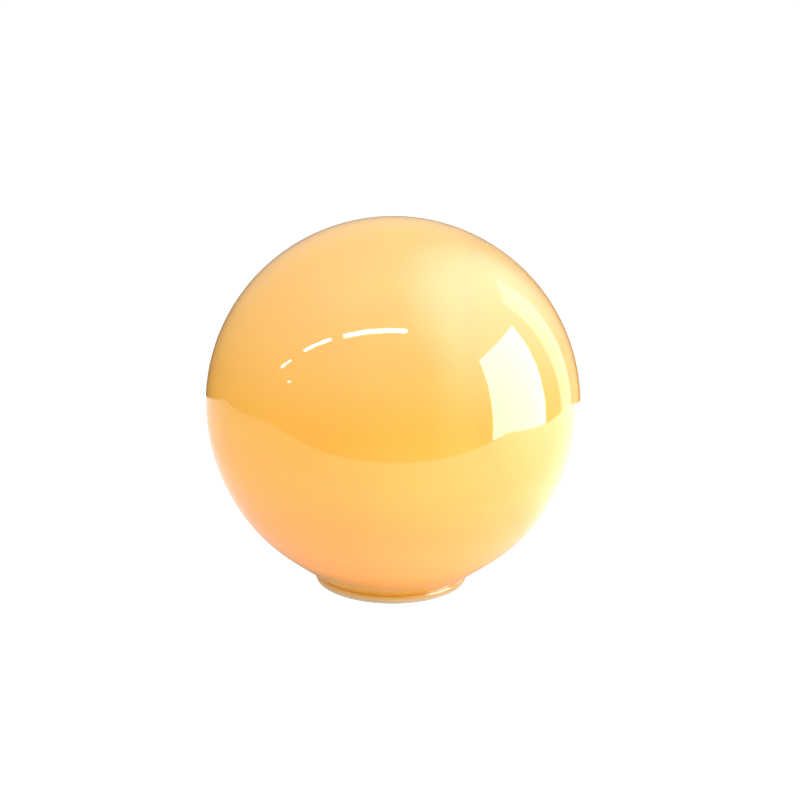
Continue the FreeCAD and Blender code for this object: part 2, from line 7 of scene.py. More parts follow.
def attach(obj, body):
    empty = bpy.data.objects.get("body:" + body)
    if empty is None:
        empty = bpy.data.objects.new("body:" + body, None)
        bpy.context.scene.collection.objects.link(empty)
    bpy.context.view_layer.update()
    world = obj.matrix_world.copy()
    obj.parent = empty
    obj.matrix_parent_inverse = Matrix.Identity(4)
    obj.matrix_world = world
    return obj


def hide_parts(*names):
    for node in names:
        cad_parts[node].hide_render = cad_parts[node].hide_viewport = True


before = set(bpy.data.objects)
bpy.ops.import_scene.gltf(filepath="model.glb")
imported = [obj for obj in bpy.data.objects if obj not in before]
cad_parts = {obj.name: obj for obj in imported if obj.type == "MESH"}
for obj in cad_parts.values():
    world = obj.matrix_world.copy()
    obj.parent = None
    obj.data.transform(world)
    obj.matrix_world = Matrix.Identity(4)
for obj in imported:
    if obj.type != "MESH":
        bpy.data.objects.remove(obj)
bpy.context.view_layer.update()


# ---------------------------------------------------------------- base dish
# The dish that stands inside the globe's neck and carries everything else: injection-moulded
# off-white ABS with a fine eroded texture, vent slots, screw posts and the ears of three clips.
# The mould leaves its edges softly rounded.
MM = 0.001


def finish_group(name):
    """Empty shader group with the sockets that every moulded or metal finish uses."""
    group = bpy.data.node_groups.new(name, "ShaderNodeTree")
    for label, kind in (("Base", "NodeSocketColor"), ("Tone", "NodeSocketFloat"),
                        ("Cloud Scale", "NodeSocketFloat"), ("Grain Scale", "NodeSocketFloat"),
                        ("Roughness", "NodeSocketFloat"), ("Spread", "NodeSocketFloat")):
        group.interface.new_socket(label, in_out="INPUT", socket_type=kind)
    for label, kind in (("Color", "NodeSocketColor"), ("Roughness", "NodeSocketFloat"),
                        ("Height", "NodeSocketFloat")):
        group.interface.new_socket(label, in_out="OUTPUT", socket_type=kind)
    return group


def variation_group():
    """Cloudy tone, uneven gloss and a fine grain, all from the piece's own place."""
    group = finish_group("moulded_variation")
    nodes, links = group.nodes, group.links
    given = nodes.new("NodeGroupInput")
    result = nodes.new("NodeGroupOutput")
    place = nodes.new("ShaderNodeTexCoord")
    cloud = nodes.new("ShaderNodeTexNoise")
    cloud.inputs["Detail"].default_value = 4.0
    grain = nodes.new("ShaderNodeTexNoise")
    grain.inputs["Detail"].default_value = 2.0
    for texture, scale in ((cloud, "Cloud Scale"), (grain, "Grain Scale")):
        links.new(place.outputs["Object"], texture.inputs["Vector"])
        links.new(given.outputs[scale], texture.inputs["Scale"])
    # tone: the colour times 1 + Tone * (cloud - 0.5) * 2
    centred = nodes.new("ShaderNodeMath")
    centred.operation = "MULTIPLY_ADD"
    centred.inputs[1].default_value = 2.0
    centred.inputs[2].default_value = -1.0
    links.new(cloud.outputs["Fac"], centred.inputs[0])
    tone = nodes.new("ShaderNodeMath")
    tone.operation = "MULTIPLY_ADD"
    tone.inputs[2].default_value = 1.0
    links.new(centred.outputs[0], tone.inputs[0])
    links.new(given.outputs["Tone"], tone.inputs[1])
    tinted = nodes.new("ShaderNodeVectorMath")
    tinted.operation = "SCALE"
    links.new(given.outputs["Base"], tinted.inputs[0])
    links.new(tone.outputs[0], tinted.inputs["Scale"])
    links.new(tinted.outputs[0], result.inputs["Color"])
    rough = nodes.new("ShaderNodeMath")
    rough.operation = "MULTIPLY_ADD"
    links.new(centred.outputs[0], rough.inputs[0])
    links.new(given.outputs["Spread"], rough.inputs[1])
    links.new(given.outputs["Roughness"], rough.inputs[2])
    links.new(rough.outputs[0], result.inputs["Roughness"])
    links.new(grain.outputs["Fac"], result.inputs["Height"])
    return group


moulded_variation = variation_group()


def moulded(name, colour, tone=0.04, cloud=70.0, grain=1800.0, depth=0.02, rough=0.45, spread=0.08,
            metallic=0.0, coat=0.0, sheen=0.0, group=moulded_variation):
    """Material of a moulded, glazed, rubber or metal piece; depth is its grain in mm."""
    material = bpy.data.materials.new(name)
    material.use_nodes = True
    nodes, links = material.node_tree.nodes, material.node_tree.links
    shader = nodes["Principled BSDF"]
    shader.inputs["Metallic"].default_value = metallic
    shader.inputs["Coat Weight"].default_value = coat
    shader.inputs["Coat Roughness"].default_value = 0.06
    shader.inputs["Sheen Weight"].default_value = sheen
    look = nodes.new("ShaderNodeGroup")
    look.node_tree = group
    look.inputs["Base"].default_value = (*colour, 1.0)
    look.inputs["Tone"].default_value = tone
    look.inputs["Cloud Scale"].default_value = cloud
    look.inputs["Grain Scale"].default_value = grain
    look.inputs["Roughness"].default_value = rough
    look.inputs["Spread"].default_value = spread
    links.new(look.outputs["Color"], shader.inputs["Base Color"])
    links.new(look.outputs["Roughness"], shader.inputs["Roughness"])
    bump = nodes.new("ShaderNodeBump")
    bump.inputs["Distance"].default_value = depth * MM
    bump.inputs["Strength"].default_value = 0.8
    links.new(look.outputs["Height"], bump.inputs["Height"])
    links.new(bump.outputs["Normal"], shader.inputs["Normal"])
    return material


def finished(bm, name, body, slot, material, *nodes, smooth=38):
    """Makes the piece's mesh, gives it its finish and hangs it on its body in place of its CAD nodes."""
    mesh = bpy.data.meshes.new(name)
    bm.to_mesh(mesh)
    bm.free()
    mesh.shade_smooth()
    mesh.set_sharp_from_angle(angle=math.radians(smooth))
    mesh.materials.append(material)
    piece = bpy.data.objects.new(name, mesh)
    bpy.context.scene.collection.objects.link(piece)
    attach(piece, body)
    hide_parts(*nodes)
    return piece


def eased(node, name, body, slot, material, width, sharp=40):
    """A piece in its CAD shape with its edges rounded by width in mm."""
    bm = bmesh.new()
    bm.from_mesh(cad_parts[node].data)
    bmesh.ops.remove_doubles(bm, verts=bm.verts[:], dist=0.002 * MM)
    bmesh.ops.dissolve_limit(bm, angle_limit=math.radians(0.6), verts=bm.verts[:], edges=bm.edges[:])
    edges = [e for e in bm.edges if e.is_manifold and e.calc_face_angle() > math.radians(sharp)]
    bmesh.ops.bevel(bm, geom=edges, offset=width * MM, segments=2, profile=0.5, affect="EDGES",
                    material=-1, clamp_overlap=True)
    return finished(bm, name, body, slot, material, node)


off_white_abs = moulded("off_white_abs", (0.50, 0.485, 0.44), grain=1400, depth=0.03, rough=0.48)
eased("base_dish", "dish", "base", "base_plastic", off_white_abs, 0.2)


# ---------------------------------------------------------------- cord outlet
# A soft sleeve with an inner flange guards the cord where it leaves the skirt, and a bar held by
# two screws presses the cord against the dish. Matt elastomer, glass-filled nylon, zinc-plated steel.
bush_rubber = moulded("bush_rubber", (0.42, 0.405, 0.37), grain=1100, depth=0.03, rough=0.68, sheen=0.15)
eased("cord_bush", "cord_sleeve", "base", "bush_rubber", bush_rubber, 0.2)
clamp_nylon = moulded("clamp_nylon", (0.40, 0.385, 0.34), tone=0.07, cloud=220, grain=900, depth=0.04,
                      rough=0.5)
eased("cord_clamp", "cord_bar", "base", "clamp_plastic", clamp_nylon, 0.25)


def worked_metal_group():
    """Tarnish clouds and fine tool lines that run round a worked metal piece."""
    group = finish_group("worked_metal")
    nodes, links = group.nodes, group.links
    given = nodes.new("NodeGroupInput")
    result = nodes.new("NodeGroupOutput")
    place = nodes.new("ShaderNodeTexCoord")
    cloud = nodes.new("ShaderNodeTexNoise")
    cloud.inputs["Detail"].default_value = 5.0
    links.new(place.outputs["Object"], cloud.inputs["Vector"])
    links.new(given.outputs["Cloud Scale"], cloud.inputs["Scale"])
    # tool lines: noise drawn out along X and Y, fine along Z
    stretch = nodes.new("ShaderNodeMapping")
    stretch.inputs["Scale"].default_value = (0.12, 0.12, 6.0)
    links.new(place.outputs["Object"], stretch.inputs["Vector"])
    lines = nodes.new("ShaderNodeTexNoise")
    lines.inputs["Detail"].default_value = 3.0
    links.new(stretch.outputs["Vector"], lines.inputs["Vector"])
    links.new(given.outputs["Grain Scale"], lines.inputs["Scale"])
    darker = nodes.new("ShaderNodeMapRange")
    darker.inputs["From Min"].default_value = 0.35
    darker.inputs["From Max"].default_value = 0.75
    links.new(cloud.outputs["Fac"], darker.inputs["Value"])
    tone = nodes.new("ShaderNodeMath")
    tone.operation = "MULTIPLY"
    links.new(darker.outputs["Result"], tone.inputs[0])
    links.new(given.outputs["Tone"], tone.inputs[1])
    keep = nodes.new("ShaderNodeMath")
    keep.operation = "SUBTRACT"
    keep.inputs[0].default_value = 1.0
    links.new(tone.outputs[0], keep.inputs[1])
    tinted = nodes.new("ShaderNodeVectorMath")
    tinted.operation = "SCALE"
    links.new(given.outputs["Base"], tinted.inputs[0])
    links.new(keep.outputs[0], tinted.inputs["Scale"])
    links.new(tinted.outputs[0], result.inputs["Color"])
    both = nodes.new("ShaderNodeMath")
    both.operation = "ADD"
    links.new(darker.outputs["Result"], both.inputs[0])
    links.new(lines.outputs["Fac"], both.inputs[1])
    spread = nodes.new("ShaderNodeMath")
    spread.operation = "MULTIPLY_ADD"
    links.new(both.outputs[0], spread.inputs[0])
    links.new(given.outputs["Spread"], spread.inputs[1])
    links.new(given.outputs["Roughness"], spread.inputs[2])
    links.new(spread.outputs[0], result.inputs["Roughness"])
    links.new(lines.outputs["Fac"], result.inputs["Height"])
    return group


worked_metal = worked_metal_group()


def metal(name, colour, rough, tone=0.12, lines=300.0, depth=0.006):
    """Material of a plated, drawn or rolled metal piece."""
    return moulded(name, colour, tone=tone, cloud=140.0, grain=lines, depth=depth, rough=rough,
                   spread=0.1, metallic=1.0, group=worked_metal)


zinc_plate = metal("zinc_plate", (0.62, 0.63, 0.65), 0.26)
eased("clamp_screws", "clamp_screw_pair", "base", "zinc_steel", zinc_plate, 0.06)


# ---------------------------------------------------------------- nipple, nut and lock washer
# An M10 steel tube with a rolled thread joins the lampholder to the dish. A hexagon nut and a
# washer clamp the dish between them. All three are zinc plated.
def loop_at(bm, height):
    """Edges of the open rim that lies at that height in mm."""
    return [e for e in bm.edges if e.is_boundary and
            all(abs(v.co.z - height * MM) < 1e-6 for v in e.verts)]


def drawn_to(bm, rim, radius, height):
    """Carries an open rim on to a circle of that radius and height in mm; returns the new rim."""
    made = bmesh.ops.extrude_edge_only(bm, edges=rim)["geom"]
    for vert in (g for g in made if isinstance(g, bmesh.types.BMVert)):
        outward = Vector((vert.co.x, vert.co.y, 0)).normalized() * radius * MM
        vert.co = outward + Vector((0, 0, height * MM))
    return [g for g in made if isinstance(g, bmesh.types.BMEdge) and g.is_boundary]


def rolled_thread(bm, root, crest, pitch, foot, crest_at, turns, rounding, steps=72):
    """Tube wall with a round-bottomed right-hand thread, cut square after a whole number of turns."""
    fresh = []
    low = crest_at + pitch * math.floor((foot - crest_at) / pitch - 1)
    for k in range(turns + 3):
        for radius, rise in ((crest, 0.0), (root, 0.5)):
            fresh.append(bm.verts.new((radius * MM, 0, (low + pitch * (k + rise)) * MM)))
    for pair in zip(fresh, fresh[1:]):
        bm.edges.new(pair)
    bmesh.ops.bevel(bm, geom=fresh[1:-1], offset=rounding * MM, segments=4, profile=0.5,
                    affect="VERTICES", material=-1)
    chain = [e for e in bm.edges if e.is_wire]
    ends = list({v for e in chain for v in e.verts})
    bmesh.ops.spin(bm, geom=ends + chain, cent=(0, 0, 0), axis=(0, 0, 1), angle=2 * math.pi,
                   dvec=(0, 0, pitch * MM / steps), steps=steps, use_merge=False)
    bmesh.ops.remove_doubles(bm, verts=bm.verts[:], dist=0.001 * MM)
    for height, side in ((foot, -1), (foot + turns * pitch, 1)):
        bmesh.ops.bisect_plane(bm, geom=bm.verts[:] + bm.edges[:] + bm.faces[:],
                               plane_co=(0, 0, height * MM), plane_no=(0, 0, side),
                               clear_outer=True, dist=1e-8)


NIPPLE_ROOT = 4.45
NIPPLE_CREST = 4.98
NIPPLE_BORE = 3.6
NIPPLE_FOOT = 7.8
NIPPLE_TOP = 24.2
nipple = bmesh.new()
rolled_thread(nipple, NIPPLE_ROOT, NIPPLE_CREST, pitch=1.0, foot=8.3, crest_at=8.3, turns=15,
              rounding=0.2, steps=48)
upper = drawn_to(nipple, loop_at(nipple, 23.3), NIPPLE_ROOT, NIPPLE_TOP)
upper = drawn_to(nipple, upper, NIPPLE_BORE, NIPPLE_TOP)
upper = drawn_to(nipple, upper, NIPPLE_BORE, NIPPLE_FOOT)
lower = drawn_to(nipple, loop_at(nipple, 8.3), NIPPLE_ROOT, NIPPLE_FOOT)
bmesh.ops.bridge_loops(nipple, edges=upper + lower)
bmesh.ops.recalc_face_normals(nipple, faces=nipple.faces[:])
finished(nipple, "nipple_tube", "base", "zinc_steel", zinc_plate, "threaded_nipple")
eased("nipple_nut", "hexagon_nut", "base", "zinc_steel", zinc_plate, 0.35)
eased("lock_washer", "washer", "base", "zinc_steel", zinc_plate, 0.12)


# ---------------------------------------------------------------- lampholder
# A two-part E-type lampholder of ivory thermoplastic: the dome screws on the nipple, the fluted
# skirt closes over it, and both hold a glazed ceramic insert with its brass contacts.
def turned(outline, rounding, centre=(0.0, 0.0), steps=96):
    """Solid turned about an upright axis from (radius, height) corners in mm, corners rounded."""
    bm = bmesh.new()
    corners = [bm.verts.new((centre[0] * MM + r * MM, centre[1] * MM, z * MM)) for r, z in outline]
    on_axis = [c[0] < 1e-6 for c in outline]
    for k in range(len(corners)):
        if not (on_axis[k - 1] and on_axis[k]):
            bm.edges.new((corners[k - 1], corners[k]))
    bmesh.ops.bevel(bm, geom=[v for v, pole in zip(corners, on_axis) if not pole],
                    offset=rounding * MM, segments=4, profile=0.5, affect="VERTICES", material=-1,
                    clamp_overlap=True)
    bmesh.ops.spin(bm, geom=bm.verts[:] + bm.edges[:], cent=(centre[0] * MM, centre[1] * MM, 0),
                   axis=(0, 0, 1), angle=2 * math.pi, steps=steps, use_merge=True)
    bmesh.ops.remove_doubles(bm, verts=bm.verts[:], dist=0.001 * MM)
    bmesh.ops.recalc_face_normals(bm, faces=bm.faces[:])
    return bm


ivory_plastic = moulded("ivory_plastic", (0.55, 0.51, 0.41), tone=0.03, grain=700, depth=0.012,
                        rough=0.24, coat=0.3)
dome = turned([(5.0, 15.8), (7.5, 15.8), (7.5, 21.8), (13.5, 24.8), (17.0, 28.8), (19.6, 33.2),
               (19.6, 36.15), (18.0, 36.15), (18.0, 42.2), (16.4, 42.2), (16.4, 34.2), (14.6, 34.2),
               (14.6, 31.2), (6.2, 24.2), (5.0, 24.2)], 0.7)
finished(dome, "holder_lower_half", "base", "holder_plastic", ivory_plastic, "holder_dome")
eased("holder_skirt", "holder_upper_half", "base", "holder_plastic", ivory_plastic, 0.2)
glazed_ceramic = moulded("glazed_ceramic", (0.57, 0.56, 0.52), tone=0.05, cloud=160, grain=400,
                         depth=0.02, rough=0.12, spread=0.05, coat=0.8)
eased("holder_insert", "ceramic_insert", "base", "ceramic", glazed_ceramic, 0.25)
rolled_brass = metal("rolled_brass", (0.72, 0.50, 0.19), 0.24, tone=0.25)

CAP_PITCH = 3.629
SHELL_ROOT = 13.5
SHELL_CREST = 12.62
SHELL_OUTSIDE = 14.05
SHELL_THREAD_FOOT = 46.9
SHELL_TURNS = 5
shell = bmesh.new()
rolled_thread(shell, SHELL_ROOT, SHELL_CREST, CAP_PITCH, SHELL_THREAD_FOOT, crest_at=50.157,
              turns=SHELL_TURNS, rounding=0.85)
lip = loop_at(shell, SHELL_THREAD_FOOT + SHELL_TURNS * CAP_PITCH)
for radius, height in ((SHELL_ROOT, 65.6), (SHELL_ROOT, 66.2), (SHELL_OUTSIDE, 66.2),
                       (SHELL_OUTSIDE, 44.2), (7.5, 44.2), (7.5, 44.8), (13.3, 44.8)):
    lip = drawn_to(shell, lip, radius, height)
foot = drawn_to(shell, loop_at(shell, SHELL_THREAD_FOOT), SHELL_ROOT, 46.2)
bmesh.ops.bridge_loops(shell, edges=lip + foot)
bmesh.ops.recalc_face_normals(shell, faces=shell.faces[:])
finished(shell, "threaded_shell", "base", "brass", rolled_brass, "screw_shell")
eased("side_contact", "side_blade", "base", "brass", rolled_brass, 0.1)
eased("contact_rivet", "tongue_rivet", "base", "brass", rolled_brass, 0.12)
eased("terminal_screws", "terminal_screw_pair", "base", "brass", rolled_brass, 0.1)
eased("centre_contact", "contact_tongue_strip", "contact_tongue", "brass", rolled_brass, 0.08)


# ---------------------------------------------------------------- retaining clips
# Three bowed clips of hardened strip turn on steel pins in the dish's ears. A torsion spring on
# each pin presses the clip against the inside of the glass neck.
spring_strip = metal("spring_strip", (0.42, 0.43, 0.46), 0.3, tone=0.2, lines=500)
for k in (1, 2, 3):
    eased(f"spring_clip_{k}", f"clip_leaf_{k}", f"clip_{k}", "spring_steel", spring_strip, 0.08)
    eased(f"clip_pin_{k}", f"clip_axle_{k}", "base", "zinc_steel", zinc_plate, 0.15)
    eased(f"clip_spring_{k}", f"clip_coil_{k}", "base", "spring_steel", spring_strip, 0.03)


# ---------------------------------------------------------------- bottom cover, its screws and feet
# A vented disc of the same ABS closes the dish from below. Three countersunk screws hold it, and
# three soft rubber pads stand in seats moulded into it.
eased("bottom_cover", "cover_disc", "base", "base_plastic", off_white_abs, 0.15)
eased("cover_screws", "cover_screw_set", "base", "zinc_steel", zinc_plate, 0.06)
pad_rubber = moulded("pad_rubber", (0.27, 0.26, 0.24), tone=0.1, grain=1300, depth=0.05, rough=0.82,
                     sheen=0.3)
PAD_CIRCLE_R = 37.0
PAD_R = 4.5
PAD_HEIGHT = 1.9
for k, angle in enumerate((60, 180, 300), 1):
    at = (PAD_CIRCLE_R * math.cos(math.radians(angle)), PAD_CIRCLE_R * math.sin(math.radians(angle)))
    pad = turned([(0, 0), (PAD_R, 0), (PAD_R, PAD_HEIGHT), (0, PAD_HEIGHT)], 0.45, centre=at, steps=40)
    finished(pad, f"rubber_pad_{k}", "base", "foot_rubber", pad_rubber, f"foot_pad_{k}")


# ---------------------------------------------------------------- bulb
# An LED bulb: nickel-plated cap with a rolled 27 mm thread, black glass insulator and soldered
# tip, satin collar over the driver, a board with twelve chips, and a blown opal envelope.
bulb_tip = turned([(0, 47.6), (3.2, 47.6), (4.8, 48.5), (4.8, 49.0), (0, 49.0)], 0.5, steps=48)
solder = metal("solder", (0.60, 0.60, 0.58), 0.34, tone=0.3)
finished(bulb_tip, "tip_contact", "bulb_tip", "cap_metal", solder, "cap_tip")
black_glass = moulded("black_glass", (0.012, 0.012, 0.014), tone=0.2, cloud=300, grain=500,
                      depth=0.03, rough=0.1, spread=0.04, coat=0.5)
finished(turned([(0, 49.0), (5.6, 49.0), (11.6, 52.0), (11.6, 52.6), (0, 52.6)], 0.35, steps=64),
         "tip_insulator", "bulb", "black_glaze", black_glass, "cap_insulator")

nickel_plate = metal("nickel_plate", (0.66, 0.64, 0.60), 0.18, tone=0.1)
CAP_ROOT = 12.2
CAP_CREST = 13.18
CAP_INSIDE = 11.4
CAP_THREAD_FOOT = 53.78
CAP_TURNS = 4
cap = bmesh.new()
rolled_thread(cap, CAP_ROOT, CAP_CREST, CAP_PITCH, CAP_THREAD_FOOT, crest_at=55.6,
              turns=CAP_TURNS, rounding=0.85)
crown = loop_at(cap, CAP_THREAD_FOOT + CAP_TURNS * CAP_PITCH)
for radius, height in ((CAP_ROOT, 69.0), (CAP_ROOT, 73.6), (CAP_INSIDE, 73.6), (CAP_INSIDE, 52.6)):
    crown = drawn_to(cap, crown, radius, height)
hem = drawn_to(cap, loop_at(cap, CAP_THREAD_FOOT), CAP_ROOT, 53.1)
hem = drawn_to(cap, hem, 12.0, 52.6)
bmesh.ops.bridge_loops(cap, edges=crown + hem)
bmesh.ops.recalc_face_normals(cap, faces=cap.faces[:])
finished(cap, "threaded_cap", "bulb", "cap_metal", nickel_plate, "bulb_cap")

satin_collar = moulded("satin_collar", (0.50, 0.50, 0.49), tone=0.02, grain=1600, depth=0.012, rough=0.4)
collar = turned([(12.2, 69.6), (13.7, 69.6), (14.9, 73.6), (26.5, 109.1), (25.0, 109.1),
                 (25.0, 107.5), (23.5, 107.5), (12.2, 77.6)], 0.35, steps=128)
finished(collar, "driver_collar", "bulb", "collar_plastic", satin_collar, "bulb_collar")
solder_mask = moulded("solder_mask", (0.62, 0.63, 0.60), tone=0.03, cloud=300, grain=2200,
                      depth=0.01, rough=0.3, coat=0.2)
finished(turned([(0, 107.5), (25.0, 107.5), (25.0, 109.1), (0, 109.1)], 0.15), "chip_board", "bulb",
         "board_white", solder_mask, "led_board")
phosphor_gel = moulded("phosphor_gel", (0.84, 0.60, 0.09), tone=0.12, cloud=500, grain=1200,
                       depth=0.04, rough=0.35, coat=0.4)
eased("led_chips", "chip_ring", "bulb", "led_phosphor", phosphor_gel, 0.2)


def carried_round(bm, end, centre, degrees, steps):
    """Carries an outline on from its end vertex round a centre (radius, height) in mm."""
    swung = bmesh.ops.spin(bm, geom=[end], cent=(centre[0] * MM, 0, centre[1] * MM), axis=(0, 1, 0),
                           angle=math.radians(degrees), steps=steps, use_merge=False)
    return next(g for g in swung["geom_last"] if isinstance(g, bmesh.types.BMVert))


def carried_to(bm, end, radius, height):
    """Carries an outline straight on to (radius, height) in mm."""
    vert = bm.verts.new((radius * MM, 0, height * MM))
    bm.edges.new((end, vert))
    return vert


opal_plastic = moulded("opal_plastic", (0.60, 0.59, 0.565), tone=0.02, grain=500, depth=0.01, rough=0.22,
                       coat=0.3)
OPAL_R = 30.0
OPAL_INNER_R = 28.8
OPAL_SEAT_R = 26.5
BOARD_TOP = 109.1
opal = bmesh.new()
middle = BOARD_TOP + math.sqrt(OPAL_R ** 2 - OPAL_SEAT_R ** 2)
sweep = 90 + math.degrees(math.asin((middle - BOARD_TOP) / OPAL_R))
inner_sweep = 90 + math.degrees(math.asin((middle - BOARD_TOP) / OPAL_INNER_R))
tail = carried_round(opal, opal.verts.new((0, 0, (middle + OPAL_R) * MM)), (0, middle), sweep, 48)
tail = carried_to(opal, tail, math.sqrt(OPAL_INNER_R ** 2 - (middle - BOARD_TOP) ** 2), BOARD_TOP)
carried_round(opal, tail, (0, middle), -inner_sweep, 48)
bmesh.ops.spin(opal, geom=opal.verts[:] + opal.edges[:], cent=(0, 0, 0), axis=(0, 0, 1),
               angle=2 * math.pi, steps=128, use_merge=True)
bmesh.ops.remove_doubles(opal, verts=opal.verts[:], dist=0.002 * MM)
bmesh.ops.recalc_face_normals(opal, faces=opal.faces[:])
finished(opal, "opal_dome", "bulb", "opal_plastic", opal_plastic, "bulb_envelope")


# ---------------------------------------------------------------- glass globe
# Blown in one piece of amber opal glass: a ball running down in a cone to its neck, its rim rolled out
# into a lip, with a notch ground at the back for the cord. The glass deepens towards its foot, partly
# where it is thick and partly with painted shade, and carries faint cloud and streaks from the blowing.
GLOBE_R = 125.0
GLOBE_INNER_R = 122.0
CENTRE_Z = 123.002
CONE_SLOPE = 37.3
CONE_TOP = (75.749, 23.568)
CONE_STEPS = 12
CREASE = (51.998, 5.475)
LIP = (50.65, 3.55)
MOUTH_ROUND = (48.1, 2.7)
NECK_BORE = 46.6
THROAT_R = 48.6
NOTCH_HALF_WIDTH = 4.6
NOTCH_TOP_CENTRE = 7.0
NOTCH_INSIDE = 43.6
NOTCH_DEPTH = 17.4


def amber_opal():
    """Glossy opal glass whose amber deepens down the cone, from thicker glass and painted shade, faintly
    clouded and streaked.
    """
    material = bpy.data.materials.new("amber_opal_glass")
    material.use_nodes = True
    nodes, links = material.node_tree.nodes, material.node_tree.links
    shader = nodes["Principled BSDF"]
    shader.inputs["IOR"].default_value = 1.52
    shader.inputs["Coat Weight"].default_value = 0.04
    shader.inputs["Coat Roughness"].default_value = 0.015
    shader.inputs["Coat IOR"].default_value = 1.5
    place = nodes.new("ShaderNodeTexCoord")
    parts = nodes.new("ShaderNodeSeparateXYZ")
    links.new(place.outputs["Object"], parts.inputs["Vector"])
    # colour by height: deeper amber in the throat, partly from the thicker glass and partly painted
    # shade under the ball; the lower half is darker than the top with painted shade, and the paler lip
    # is a painted highlight
    depth = nodes.new("ShaderNodeValToRGB")
    height = nodes.new("ShaderNodeMapRange")
    height.inputs["From Max"].default_value = 0.248
    links.new(parts.outputs["Z"], height.inputs["Value"])
    links.new(height.outputs["Result"], depth.inputs["Fac"])
    ramp = depth.color_ramp
    ramp.elements[0].position = 0.0
    ramp.elements[0].color = (0.66, 0.40, 0.18, 1)
    ramp.elements[1].position = 1.0
    ramp.elements[1].color = (0.93, 0.49, 0.085, 1)
    # painted shade down the throat and through the lower half, painted highlight at the lip
    for at, colour in ((0.014, (0.62, 0.36, 0.13, 1)), (0.019, (0.66, 0.35, 0.05, 1)),
                       (0.0235, (0.58, 0.23, 0.012, 1)), (0.034, (0.60, 0.245, 0.014, 1)),
                       (0.05, (0.63, 0.27, 0.02, 1)), (0.066, (0.68, 0.29, 0.026, 1)),
                       (0.09, (0.80, 0.325, 0.036, 1)), (0.125, (0.90, 0.35, 0.075, 1)),
                       (0.18, (0.92, 0.365, 0.092, 1)), (0.28, (0.92, 0.365, 0.077, 1)),
                       (0.38, (0.92, 0.41, 0.066, 1)), (0.5, (0.92, 0.45, 0.068, 1))):
        ramp.elements.new(at).color = colour
    # streaks drawn round the axis while the glass was turned, and soft cloud
    drawn = nodes.new("ShaderNodeMapping")
    drawn.inputs["Scale"].default_value = (3.0, 3.0, 22.0)
    links.new(place.outputs["Object"], drawn.inputs["Vector"])
    streak = nodes.new("ShaderNodeTexNoise")
    streak.inputs["Scale"].default_value = 3.0
    streak.inputs["Detail"].default_value = 4.0
    links.new(drawn.outputs["Vector"], streak.inputs["Vector"])
    cloud = nodes.new("ShaderNodeTexNoise")
    cloud.inputs["Scale"].default_value = 16.0
    cloud.inputs["Detail"].default_value = 3.0
    links.new(place.outputs["Object"], cloud.inputs["Vector"])
    mixed = nodes.new("ShaderNodeMath")
    mixed.operation = "ADD"
    links.new(streak.outputs["Fac"], mixed.inputs[0])
    links.new(cloud.outputs["Fac"], mixed.inputs[1])
    shade = nodes.new("ShaderNodeMapRange")
    shade.inputs["From Min"].default_value = 0.7
    shade.inputs["From Max"].default_value = 1.3
    shade.inputs["To Min"].default_value = 0.965
    shade.inputs["To Max"].default_value = 1.035
    links.new(mixed.outputs[0], shade.inputs["Value"])
    tinted = nodes.new("ShaderNodeVectorMath")
    tinted.operation = "SCALE"
    links.new(depth.outputs["Color"], tinted.inputs[0])
    links.new(shade.outputs["Result"], tinted.inputs["Scale"])
    links.new(tinted.outputs[0], shader.inputs["Base Color"])
    gloss = nodes.new("ShaderNodeMapRange")
    gloss.inputs["From Min"].default_value = 0.3
    gloss.inputs["From Max"].default_value = 0.8
    gloss.inputs["To Min"].default_value = 0.03
    gloss.inputs["To Max"].default_value = 0.075
    links.new(cloud.outputs["Fac"], gloss.inputs["Value"])
    links.new(gloss.outputs["Result"], shader.inputs["Roughness"])
    ripple = nodes.new("ShaderNodeBump")
    ripple.inputs["Distance"].default_value = 0.03 * MM
    ripple.inputs["Strength"].default_value = 0.5
    links.new(streak.outputs["Fac"], ripple.inputs["Height"])
    links.new(ripple.outputs["Normal"], shader.inputs["Normal"])
    return material


def notch_cutter():
    """Round-topped block that grinds the cord's notch, open below."""
    bm = bmesh.new()
    start = bm.verts.new((-NOTCH_HALF_WIDTH * MM, NOTCH_INSIDE * MM, NOTCH_TOP_CENTRE * MM))
    bmesh.ops.spin(bm, geom=[start], cent=(0, NOTCH_INSIDE * MM, NOTCH_TOP_CENTRE * MM),
                   axis=(0, 1, 0), angle=math.pi, steps=32, use_merge=False)
    last = max(bm.verts, key=lambda v: v.co.x)
    below = [bm.verts.new((side * NOTCH_HALF_WIDTH * MM, NOTCH_INSIDE * MM, -1.0 * MM))
             for side in (1, -1)]
    bm.edges.new((last, below[0]))
    bm.edges.new(below)
    bm.edges.new((below[1], start))
    face = bmesh.ops.contextual_create(bm, geom=bm.edges[:])["faces"]
    out = bmesh.ops.extrude_face_region(bm, geom=face)["geom"]
    far = [g for g in out if isinstance(g, bmesh.types.BMVert)]
    bmesh.ops.translate(bm, vec=(0, NOTCH_DEPTH * MM, 0), verts=far)
    bmesh.ops.recalc_face_normals(bm, faces=bm.faces[:])
    mesh = bpy.data.meshes.new("notch_cutter")
    bm.to_mesh(mesh)
    bm.free()
    cutter = bpy.data.objects.new("notch_cutter", mesh)
    bpy.context.scene.collection.objects.link(cutter)
    return cutter


